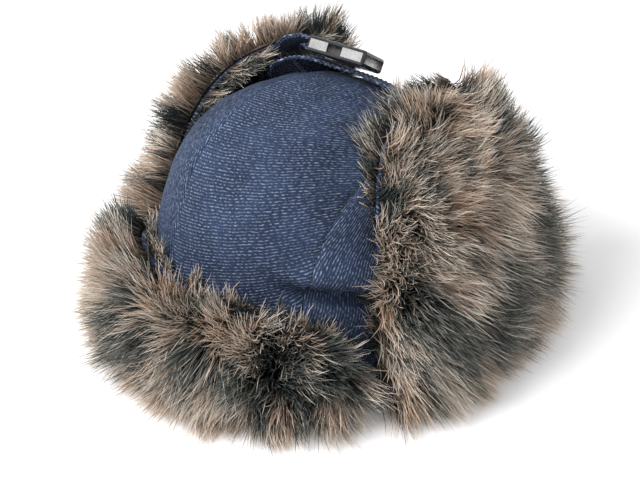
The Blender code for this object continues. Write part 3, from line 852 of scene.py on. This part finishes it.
@dataclass
class Flap:
    """A turned-up flap: a denim leaf inside and long fur outside, on one curved sheet.

    The sheet's plan is an ellipse round the rim, a little longer behind, and its upper
    part leans over the crown by lean * (z / height)^lean_power.
    """

    name: str
    body: str
    finishes: Wardrobe
    front: float
    back: float
    height: float
    lean: float
    middle: float
    rear_spread: float = 0.0
    mirrored: bool = False
    strands: int = 28000
    seed: int = 1
    clearance: float = 0.007
    cloth: float = 0.0022
    pile_gap: float = 0.0024
    end_reach: float = 0.010
    splay: float = 0.002
    fringe_gap: tuple = (0.005, 0.0)
    fringe_tone: float = 0.50
    fringe_share: float = 0.12
    tone: float = 0.48
    patches: tuple[Patch, ...] = ()
    half_width: float = 0.100
    half_length: float = 0.110
    hem: float = 0.003
    square: float = 2.6
    rim: float = 0.022
    pile: float = 0.043
    lean_power: float = 2.3
    foot: float = 0.0015
    per_lock: int = 15
    rings: tuple = (0.0, 0.34, 0.70)
    piece_limit: int = 12400

    def place(self, turn: np.ndarray, z: np.ndarray, out: np.ndarray) -> np.ndarray:
        """Places at angles round the rim (degrees), heights and distances outwards."""
        angle = np.radians(turn)
        a = self.half_width + self.clearance
        b = self.half_length + self.clearance + np.where(np.cos(angle) < 0, self.rear_spread, 0.0)
        base = np.stack([a * np.sin(angle), -b * np.cos(angle)], axis=-1)
        normal = unit(np.stack([np.sin(angle) / a, -np.cos(angle) / b], axis=-1))
        middle = math.radians(self.middle)
        inward = -np.array([math.sin(middle), -math.cos(middle)])
        climb = np.clip(z / self.height, 0.0, None) ** self.lean_power
        lean = self.lean * climb[..., None] * inward
        plan = base + normal * out[..., None] + lean
        points = np.concatenate([plan, z[..., None]], axis=-1)
        return points * np.array([-1.0, 1.0, 1.0]) if self.mirrored else points

    def outline_top(self, share: np.ndarray, top: float, base: float) -> np.ndarray:
        """Height of the outline at a share (-1 to 1) of its width: a rounded square."""
        return base + (top - base) * (1 - np.abs(share) ** self.square) ** (1 / self.square)

    def turn_at(self, share: np.ndarray) -> np.ndarray:
        """Angles round the rim at shares (-1 to 1) of the flap's width."""
        return (self.front + self.back) / 2 + (self.back - self.front) / 2 * share

    def grid(self, rows: int, columns: int, base: float) -> tuple[np.ndarray, np.ndarray]:
        """Angles and heights over the sheet, row by row from its base to its outline."""
        share = 0.9985 * np.sin(np.linspace(-math.pi / 2, math.pi / 2, columns))[None, :]
        climb = np.linspace(0.0, 1.0, rows)[:, None]
        top = self.outline_top(share, self.height, base)
        return self.turn_at(share) + 0 * climb, base + (top - base) * climb

    def axes_at(self, turn: np.ndarray, z: np.ndarray,
                out: np.ndarray) -> tuple[np.ndarray, ...]:
        """Places, and the unit directions there along the rim, up the sheet and outwards."""
        root = self.place(turn, z, out)
        steps = ((0.5, 0.0, 0.0), (0.0, 0.001, 0.0), (0.0, 0.0, 0.001))
        return root, *(unit(self.place(turn + a, z + b, out + c) - root) for a, b, c in steps)

    def leaf(self) -> bpy.types.Object:
        """The denim leaf, puckered along its sewn edge."""
        turn, z = self.grid(56, 70, self.hem)
        rounding, pucker_depth, pucker_wave, pucker_width = 0.09, 0.0005, 0.012, 0.008
        seam_in, dip_depth, dip_width, sway_depth, sway_wave = 0.006, 0.0007, 0.0016, 0.0006, 0.06
        share = np.abs(turn - (self.front + self.back) / 2) / ((self.back - self.front) / 2)
        top = self.outline_top(np.clip(share, 0, 1), self.height, self.hem)
        edge = np.minimum(top - z, (1 - share) * rounding)
        flat = self.place(turn, z, np.zeros_like(z))
        pucker = (pucker_depth * ripple(flat, pucker_wave, self.seed + 40)
                  * bump(edge, pucker_width))
        dip = (dip_depth * bump(edge - seam_in, dip_width)
               - sway_depth * ripple(flat, sway_wave, self.seed + 41))
        inner = self.place(turn, z, pucker + np.clip(dip, -0.001, 0.0012))
        outer = self.place(turn, z, np.full_like(z, self.cloth))
        uv = np.stack([0.2 + arc_lengths(flat, 0), 0.2 + arc_lengths(flat, 1)], axis=-1)
        return cloth_piece(f"{self.name}_denim", outer, inner, uv,
                           {"seam": bump(edge - seam_in, 0.0025)})

    def leaf_stitching(self) -> bpy.types.Object:
        """One row of thread round the leaf, 6 mm inside its edge, on its denim face."""
        arc = np.linspace(0.04, 0.96, 160) * math.pi
        power = 2 / self.square
        across = -np.sign(np.cos(arc)) * np.abs(np.cos(arc)) ** power
        up = np.sin(arc) ** power
        turn = (self.front + self.back) / 2 + ((self.back - self.front) / 2 - 3.2) * across
        z = self.hem + (self.height - 0.006 - self.hem) * up
        route = self.place(turn, z, np.full_like(z, 0.0))
        toward = unit(self.place(turn, z, np.full_like(z, -0.001)) - route)
        return stitches(f"{self.name}_stitching", route, toward)

    def backing(self) -> bpy.types.Object:
        """The fur's backing, a thin closed sheet that the strands grow from.

        The sine of a column's degrees, read as radians, scatters the tone over its map.
        """
        turn, z = self.grid(30, 40, self.foot)
        near = self.cloth + self.pile_gap
        inner = self.place(turn, z, np.full_like(z, near))
        outer = self.place(turn, z, np.full_like(z, near + 0.0016))
        uv = np.stack([0.30 + 0.3 * np.abs(np.sin(turn)), 0.02 + 0.2 * z / z.max()], axis=-1)
        return cloth_piece(f"{self.name}_backing", outer, inner, uv, map_name=FUR_MAP)

    def roots(self, rng: np.random.Generator, count: int) -> tuple[np.ndarray, np.ndarray]:
        """Random (share of width, share of height) over the backing, even in area."""
        share = rng.uniform(-0.995, 0.995, count * 2)
        level = rng.uniform(0.0, 1.0, count * 2)
        inside = level < (1 - np.abs(share) ** self.square) ** (1 / self.square)
        return share[inside][:count], level[inside][:count]

    def pieces_of_pile(self) -> list[bpy.types.Object]:
        """The fur's strands, in locks that part and lean away from the flap's middle.

        A strand is a three-sided tapered tube on the curve P0 (1-t)^2 + 2 P1 t (1-t) +
        P2 t^2: it leaves the backing along the sheet's normal and bends to its lock's
        heading. Its map holds its tone across and its length up.
        """
        rng = np.random.default_rng(SEED + self.seed)
        share, level = self.roots(rng, self.strands // self.per_lock)
        locks = len(share)
        rho = (np.abs(share) ** self.square + level ** self.square) ** (1 / self.square)
        sunk, edge_drop, edge = 0.0012, 0.0026, (0.90, 0.99)
        near = self.cloth + self.pile_gap + sunk - edge_drop * smooth_step(*edge, rho)
        root, sideways, upward, normal = self.axes_at(
            self.turn_at(share), self.foot + (self.height - self.foot) * level, near)
        low = 1 - smooth_step(0.0, 0.20, level)
        rim = smooth_step(0.50, 1.0, rho)
        foot = bump(level - 0.05, 0.30)
        parting, rising, part_wave, rise_wave = 0.010, 0.010, 0.030, 0.040
        part = parting * ripple(root, part_wave, self.seed + 7)
        rise = rising * ripple(root, rise_wave, self.seed + 8)
        foot_fullness, shortest, longest = 0.8, 0.80, 1.08
        blunt = np.abs(share) ** self.square * (1 - foot_fullness * foot) + level ** self.square
        blunt = np.clip(blunt, 0, 1) ** (1 / self.square)
        deep = self.rim + (self.pile - self.rim) * np.sqrt(1 - blunt ** 3)
        deep = deep * rng.uniform(shortest, longest, locks) + self.splay * foot
        forward, combed_up, rim_up, foot_down, stray = 0.002, 0.004, 0.024, 0.010, 0.0032
        aside = rim * (self.end_reach * share + forward * share ** 2) + part
        up = combed_up + rim_up * rim * level - foot_down * low + rise
        reach = normal * deep[:, None] + sideways * aside[:, None] + upward * up[:, None]
        reach = reach + rng.normal(0, stray, (locks, 3))
        tone = self.tones(root, share, level, rng)
        made = self.grow(rng, Locks(root, sideways, upward, normal, reach, tone), "pile")
        return made + self.fringe(rng)

    def fringe(self, rng: np.random.Generator) -> list[bpy.types.Object]:
        """Shorter dark locks that fold from the leaf's edge over its denim side.

        They are rooted along the outline's upper part and point inwards and a little
        up or down, no longer than the space in front of the crown allows.
        """
        locks = int(self.strands * self.fringe_share / self.per_lock)
        arc = rng.uniform(0.03, 0.97, locks) * math.pi
        ring = rng.uniform(0.965, 1.0, locks)
        share = -np.sign(np.cos(arc)) * np.abs(np.cos(arc)) ** (2 / self.square) * ring
        level = np.sin(arc) ** (2 / self.square) * ring
        sunk, shortest, spread, stray, lowest, highest = -0.0004, 0.4, 0.006, 0.004, -0.008, 0.018
        root, sideways, upward, normal = self.axes_at(
            self.turn_at(share), self.foot + (self.height - self.foot) * level,
            np.full(locks, sunk))
        space = (self.fringe_gap[0] + self.fringe_gap[1] * level)[:, None]
        reach = (-normal * space * rng.uniform(shortest, 1.0, (locks, 1))
                 + sideways * (spread * share[:, None] ** 3 + rng.normal(0, stray, (locks, 1)))
                 + upward * rng.uniform(lowest, highest, (locks, 1)))
        blot, blot_wave, scatter = 0.16, 0.018, 0.08
        tone = (self.fringe_tone + blot * ripple(root, blot_wave, self.seed + 21)
                + rng.normal(0, scatter, locks))
        return self.grow(rng, Locks(root, sideways, upward, -normal, reach, tone), "fringe")

    def tones(self, root: np.ndarray, share: np.ndarray, level: np.ndarray,
              rng: np.random.Generator) -> np.ndarray:
        """Each lock's tone: 0 green-black, 0.5 pale-tipped tan, 1 rust brown.

        Streaks run up the sheet, and each soft patch makes a part of the flap darker or
        browner.
        """
        streak, streak_wave, stretch = 0.34, 0.0135, np.array([1.0, 1.0, 0.36])
        blot, blot_wave, scatter = 0.15, 0.045, 0.17
        tone = (self.tone + streak * ripple(root * stretch, streak_wave, self.seed + 11)
                + blot * ripple(root, blot_wave, self.seed + 12))
        for patch in self.patches:
            tone = tone + (patch.change * bump(share - patch.across, patch.wide)
                           * bump(level - patch.up, patch.tall))
        return tone + rng.normal(0, scatter, len(tone))

    def paths(self, rng: np.random.Generator, locks: Locks) -> tuple[np.ndarray, np.ndarray]:
        """Bends every strand of the locks out of the backing and towards its lock's tip.

        Args:
            rng: the flap's random numbers.
            locks: the locks to grow.

        Returns:
            Four places along each strand, (4, n, 3), and its unit direction, (n, 3).
        """
        lock_spread, tip_gather, tip_scatter, stray = 0.0030, 0.75, 0.0022, 0.10
        shortest, longest, lift, follow, drawn, droop = 0.70, 1.12, 0.30, 0.22, 0.96, 0.10
        lowest, uneven = 0.0016, 0.004
        spread = rng.normal(0, lock_spread, (len(locks.root), self.per_lock, 2))
        offset = (locks.sideways[:, None] * spread[..., :1]
                  + locks.upward[:, None] * spread[..., 1:])
        start = (locks.root[:, None] + offset).reshape(-1, 3)
        count = len(start)
        length = np.linalg.norm(locks.reach, axis=-1)
        span = (np.repeat(length, self.per_lock)[:, None]
                * rng.uniform(shortest, longest, (count, 1)))
        tips = (np.repeat(locks.root + unit(locks.reach) * length[:, None], self.per_lock, axis=0)
                + offset.reshape(-1, 3) * tip_gather + rng.normal(0, tip_scatter, (count, 3)))
        toward = unit(unit(tips - start) + rng.normal(0, stray, (count, 3)))
        outward = np.repeat(locks.normal, self.per_lock, axis=0)
        bend = start + (outward * lift + toward * follow) * span
        end = start + toward * span * drawn + np.array([0.0, 0.0, -1.0]) * span * droop
        t = np.array([*self.rings, 1.0])[:, None, None]
        path = start * (1 - t) ** 2 + bend * (2 * t * (1 - t)) + end * t * t
        path[..., 2] = np.maximum(path[..., 2], lowest + rng.uniform(0, uneven, count))
        return np.clip(path, ROOM[0], ROOM[1]), unit(end - start)

    def tubes(self, rng: np.random.Generator, path: np.ndarray, ahead: np.ndarray) -> np.ndarray:
        """Gives every strand its thickness: three rings of three points, then its tip.

        Args:
            rng: the flap's random numbers.
            path: places along the strands.
            ahead: their unit directions.

        Returns:
            Ten points for each strand, (n, 10, 3).
        """
        thinnest, thickest, end_share = 0.00028, 0.00046, 0.62
        count = len(ahead)
        side = unit(np.cross(ahead, rng.normal(size=(count, 3))))
        over = np.cross(ahead, side)
        radius = rng.uniform(thinnest, thickest, count)
        corner = np.array([0.0, 2 * math.pi / 3, 4 * math.pi / 3])
        ring = (side[:, None] * np.cos(corner)[:, None] + over[:, None] * np.sin(corner)[:, None])
        thick = np.array([1.0, 1.0, end_share])[:, None, None, None] * radius[None, :, None, None]
        rings = np.moveaxis(path[:3, :, None] + ring[None] * thick, 0, 1).reshape(count, 9, 3)
        return np.concatenate([rings, path[3][:, None]], axis=1)

    def grow(self, rng: np.random.Generator, locks: Locks, kind: str) -> list[bpy.types.Object]:
        """Grows the strands of every lock and splits them into pieces of limited size.

        Args:
            rng: the flap's random numbers.
            locks: the locks to grow.
            kind: the word for these strands in the pieces' names.

        Returns:
            The pieces.
        """
        points = self.tubes(rng, *self.paths(rng, locks))
        count, corners = points.shape[:2]
        uneven, half_width, tip = 0.07, 0.004, 0.995
        shade = np.repeat(locks.tone, self.per_lock) + rng.normal(0, uneven, count)
        wide = np.array([-half_width, 0.0, half_width] * 3 + [0.0])
        along = np.append(np.repeat(self.rings, 3), tip)
        uv = np.stack([np.clip(shade, 0.02, 0.98)[:, None] + wide,
                       np.broadcast_to(along, (count, corners))], axis=-1)
        faces = strand_faces()
        made = []
        for number, first in enumerate(range(0, count, self.piece_limit), 1):
            part = slice(first, first + self.piece_limit)
            shift = (np.arange(len(points[part])) * corners)[:, None, None]
            quads, tris = ((face[None] + shift).reshape(-1, face.shape[1]) for face in faces)
            made.append(make_piece(f"{self.name}_{kind}_{number}", points[part].reshape(-1, 3),
                                   quads, tris, uv[part].reshape(-1, 2), map_name=FUR_MAP))
        return made

    def build(self) -> None:
        """Makes and dresses the leaf, its stitching, the backing and the pile."""
        wear = self.finishes
        dress(self.leaf(), wear.denim, self.body, (f"{self.name}_cloth",))
        dress(self.leaf_stitching(), wear.thread, self.body)
        dress(self.backing(), wear.fur, self.body, (f"{self.name}_fur",))
        for piece in self.pieces_of_pile():
            dress(piece, wear.fur, self.body, (f"{self.name}_fur",))


def strand_faces() -> tuple[np.ndarray, np.ndarray]:
    """Faces of one strand: two bands of three quads, a pointed end and a closed root."""
    rings = grid_quads(3, 3, wrap=True)
    tip = np.array([[6, 7, 9], [7, 8, 9], [8, 6, 9]])
    root = np.array([[2, 1, 0]])
    return rings, np.concatenate([tip, root])


# ---- straps and buckle ---------------------------------------------------------------
def route_through(points: list[tuple], steps: int) -> np.ndarray:
    """A Catmull-Rom curve through the points, with the given steps to each span."""
    given = np.array(points, float)
    padded = np.vstack([2 * given[0] - given[1], given, 2 * given[-1] - given[-2]])
    t = np.linspace(0.0, 1.0, steps, endpoint=False)[None, :, None]
    a, b, c, d = (padded[k:len(padded) - 3 + k][:, None] for k in range(4))
    curve = 0.5 * (2 * b + (c - a) * t + (2 * a - 5 * b + 4 * c - d) * t ** 2
                   + (3 * b - a - 3 * c + d) * t ** 3)
    return np.vstack([curve.reshape(-1, 3), given[-1]])


@dataclass
class Strap:
    """A denim strap: two folded layers, stitched along both edges in pale thread."""

    name: str
    node: str
    flap: str
    end_body: str
    finishes: Wardrobe
    route: np.ndarray
    side: np.ndarray
    fold: tuple
    width: float = 0.022
    thick: float = 0.0018

    def axes(self) -> tuple[np.ndarray, np.ndarray]:
        """Unit directions across the strap and out of its face, along its route."""
        ahead = unit(np.gradient(self.route, axis=0))
        side = unit(self.side - ahead * np.sum(self.side * ahead, axis=1, keepdims=True))
        return side, np.cross(ahead, side)

    def webbing(self) -> bpy.types.Object:
        """The strap's body: a flat rounded section with a bead inside each edge."""
        side, up = self.axes()
        turn = np.linspace(0, 2 * math.pi, 28, endpoint=False)
        squareness, fullness = 0.28, 0.75
        across = np.sign(np.cos(turn)) * np.abs(np.cos(turn)) ** squareness
        over = np.sign(np.sin(turn)) * np.abs(np.sin(turn)) ** fullness
        depth, place, width = 0.30, 0.84, 0.07
        groove = 1 - depth * bump(np.abs(across) - place, width)
        section = (side[:, None] * (across * self.width / 2)[:, None]
                   + up[:, None] * (over * groove * self.thick / 2)[:, None])
        points = self.route[:, None] + section
        rows, columns = points.shape[:2]
        quads = grid_quads(rows, columns, wrap=True)
        ends = np.arange(1, columns - 1)
        cap = np.stack([0 * ends, ends, ends + 1], axis=-1)
        last = (rows - 1) * columns
        tris = np.concatenate([cap[:, ::-1], cap + last])
        run = arc_lengths(self.route, 0)
        uv = np.stack([0.2 + run[:, None] + 0 * across,
                       0.2 + 0 * run[:, None] + across * self.width / 2], axis=-1)
        seam = bump(np.abs(across) - 0.95, 0.10) + 0 * run[:, None]
        a, b, d = points[0, 0], points[0, 1], points[1, 0]
        if np.dot(np.cross(b - a, d - a), a - self.route[0]) < 0:
            quads, tris = quads[:, ::-1], tris[:, ::-1]
        return make_piece(f"{self.name}_webbing", points.reshape(-1, 3), quads, tris,
                          uv.reshape(-1, 2), {"seam": seam.ravel()})

    def thread_rows(self) -> list[bpy.types.Object]:
        """Four rows of stitches, beside both edges on both faces."""
        side, up = self.axes()
        made = []
        for number, (edge, face) in enumerate(((1, 1), (-1, 1), (1, -1), (-1, -1)), 1):
            route = (self.route + side * (edge * self.width * 0.42)
                     + up * (face * self.thick * 0.38))
            made.append(stitches(f"{self.name}_thread_{number}", route, up * face))
        return made

    def build(self) -> None:
        """Makes the strap and its thread rows along the route from its flap to its half of the
        buckle.
        """
        webbing = self.webbing()
        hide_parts(self.node)
        for piece, finish in ((webbing, self.finishes.denim),
                              *((row, self.finishes.thread) for row in self.thread_rows())):
            piece.data.materials.append(finish)
            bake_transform(piece)
            LOG.info("%s: bends from %s to %s", piece.name, self.flap, self.end_body)


@dataclass
class Buckle:
    """The side-release buckle's frame, which both straps lie against."""

    finishes: Wardrobe
    centre: np.ndarray = field(default_factory=lambda: np.array([0.002, 0.031, 0.1694]))
    along: np.ndarray = field(
        default_factory=lambda: unit(np.array([0.980, 0.198, -0.020])))
    up: np.ndarray = field(default_factory=lambda: unit(np.array([-0.102, 0.539, 0.836])))
    length: float = 0.042
    bar_run: float = 0.0045
    bar_thick: float = 0.0034
    strap: float = 0.0018

    def on(self, along: float, above: float) -> tuple:
        """A point on the socket's middle plane, from its centre."""
        return tuple(self.centre + self.along * along + self.up * above)

    def build(self) -> None:
        """Dresses both halves, then makes the straps."""
        for node in ("buckle_socket", "buckle_plug"):
            dress_node(node, self.finishes.buckle)
        self.right_strap().build()
        self.left_strap().build()

    def right_strap(self) -> Strap:
        """From the right flap up to the socket, round its bar and back under."""
        wrap = self.bar_thick / 2 + self.strap / 2 + 0.0005
        bar = -self.length / 2 + self.bar_run / 2
        turn_at = bar + self.bar_run / 2 + self.strap / 2 + 0.0005
        free = route_through([
            (-0.0893, 0.035, 0.084), (-0.0848, 0.035, 0.100), (-0.0745, 0.034, 0.122),
            (-0.0620, 0.031, 0.1455), (-0.0450, 0.029, 0.1640), self.on(-0.0300, wrap + 0.0004),
        ], 12)
        loop = route_through([
            self.on(-0.0225, wrap), self.on(bar, wrap), self.on(turn_at - 0.0012, wrap),
            self.on(turn_at, wrap - 0.0012), self.on(turn_at, -wrap + 0.0012),
            self.on(turn_at - 0.0012, -wrap), self.on(bar, -wrap), self.on(-0.0225, -wrap),
            self.on(-0.0275, -wrap + 0.0010),
        ], 5)
        route = np.vstack([free, loop])
        twist_from, twist_over = 20, 34.0
        share = np.clip((np.arange(len(route)) - twist_from) / twist_over, 0.0, 1.0)[:, None]
        side = (1 - share) * np.array([0.0, 1.0, 0.0]) + share * np.cross(self.up, self.along)
        return Strap("strap_right", "strap_right", "ear_flap_right", "socket", self.finishes,
                     route, side, ((-0.058, 0.029, 0.151), (-0.034, 0.029, 0.169)))

    def left_strap(self) -> Strap:
        """From the left flap over the crown, under the socket, and down to the plug."""
        route = route_through([
            (0.0812, 0.050, 0.104), (0.0745, 0.049, 0.119), (0.0600, 0.047, 0.1385),
            (0.0400, 0.044, 0.1500), (0.0180, 0.040, 0.1550), (-0.0040, 0.034, 0.1574),
            (-0.0250, 0.026, 0.1605), (-0.0410, 0.021, 0.1550), (-0.0520, 0.026, 0.1435),
            (-0.0590, 0.040, 0.1300), (-0.0645, 0.0535, 0.1170), (-0.0712, 0.0612, 0.1025),
            (-0.0722, 0.0618, 0.0987),
        ], 12)
        # Its tilt and its turn in plan, in radians, by places along it in quarter spans.
        steps = np.arange(len(route))[:, None] / 3.0
        tilt = np.interp(steps, [0, 12, 22, 32], [0.0, 0.50, 0.45, 0.0])
        toe = np.interp(steps, [0, 10, 32, 46], [-0.25, 0.0, 0.0, 0.60])
        side = np.concatenate([np.sin(toe), np.cos(toe) * np.cos(tilt), -np.sin(tilt)], axis=1)
        return Strap("strap_left", "strap_left", "ear_flap_left", "plug", self.finishes,
                     route, side, ((0.058, 0.044, 0.149), (0.032, 0.044, 0.149)))


# ---- studio --------------------------------------------------------------------------
@dataclass(frozen=True)
class Studio:
    """A pale floor, soft light from all round and the camera."""

    azimuth: float = 45.0
    elevation: float = 38.0
    distance: float = 0.72
    lens: float = 56.7
    aim: tuple = (-0.0093, 0.0194, 0.0259)

    def floor(self) -> None:
        """A wide pale floor."""
        reach = 6.0
        corners = np.array([[-reach, -reach, 0], [reach, -reach, 0], [reach, reach, 0],
                            [-reach, reach, 0]], float)
        made = make_piece("floor", corners, np.array([[0, 1, 2, 3]]), smooth=False)
        paint = bpy.data.materials.new("pale_floor")
        paint.use_nodes = True
        shader = paint.node_tree.nodes["Principled BSDF"]
        shader.inputs["Base Color"].default_value = (0.93, 0.93, 0.94, 1.0)
        shader.inputs["Roughness"].default_value = 0.95
        made.data.materials.append(paint)

    def aim_at(self, name: str, data: bpy.types.ID, place: Vector,
               target: Vector) -> bpy.types.Object:
        """Puts a light or a camera in a place, facing a target."""
        made = bpy.data.objects.new(name, data)
        made.location = place
        made.rotation_euler = (target - place).to_track_quat("-Z", "Y").to_euler()
        bpy.context.scene.collection.objects.link(made)
        return made

    def light(self, name: str, place: tuple, size: float, power: float) -> None:
        """One square soft light that faces the hat."""
        lamp = bpy.data.lights.new(name, "AREA")
        lamp.shape, lamp.size, lamp.energy = "SQUARE", size, power
        self.aim_at(name, lamp, Vector(place), Vector())

    def camera(self) -> None:
        """The camera, aimed a little above the hat's foot."""
        a, e = math.radians(self.azimuth), math.radians(self.elevation)
        back = Vector((math.sin(a) * math.cos(e), -math.cos(a) * math.cos(e), math.sin(e)))
        lens = bpy.data.cameras.new("camera")
        lens.lens, lens.sensor_width = self.lens, 36.0
        bpy.context.scene.camera = self.aim_at("camera", lens, back * self.distance,
                                               Vector(self.aim))

    def build(self) -> None:
        """Sets the stage."""
        world = bpy.data.worlds.new("studio")
        world.use_nodes = True
        backdrop = world.node_tree.nodes["Background"]
        backdrop.inputs[0].default_value = (1.0, 1.0, 1.0, 1.0)
        backdrop.inputs[1].default_value = 0.84
        bpy.context.scene.world = world
        bpy.context.scene.view_settings.view_transform = "Standard"
        self.floor()
        self.light("key", (-0.50, -1.15, 1.3), 0.8, 38.0)
        self.light("fill", (1.3, -0.4, 1.1), 1.0, 1.5)
        self.camera()


def main() -> None:
    """Sets the studio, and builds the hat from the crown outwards."""
    logging.basicConfig(level=logging.INFO, format="%(message)s")
    finishes = Wardrobe.make()
    Studio().build()
    Crown(finishes).build()
    ear = dict(front=70.0, back=134.0, height=0.156, lean=0.044, middle=90.0, rear_spread=0.050,
               strands=26500, patches=EAR_PATCHES, splay=0.011, fringe_gap=(0.005, 0.013),
               fringe_tone=0.38, tone=0.43)
    Flap("ear_flap_left", "ear_flap_left", finishes, seed=1, **ear).build()
    Flap("ear_flap_right", "ear_flap_right", finishes, seed=2, mirrored=True, **ear).build()
    Flap("visor", "visor", finishes, front=-60.0, back=60.0, height=0.066, lean=0.004,
         middle=0.0, strands=17500, seed=3, patches=VISOR_PATCHES).build()
    Flap("neck_flap", "neck_flap", finishes, front=158.0, back=202.0, height=0.096, lean=0.012,
         middle=180.0, strands=8500, seed=4).build()
    Buckle(finishes).build()


if __name__ == "__main__":
    main()
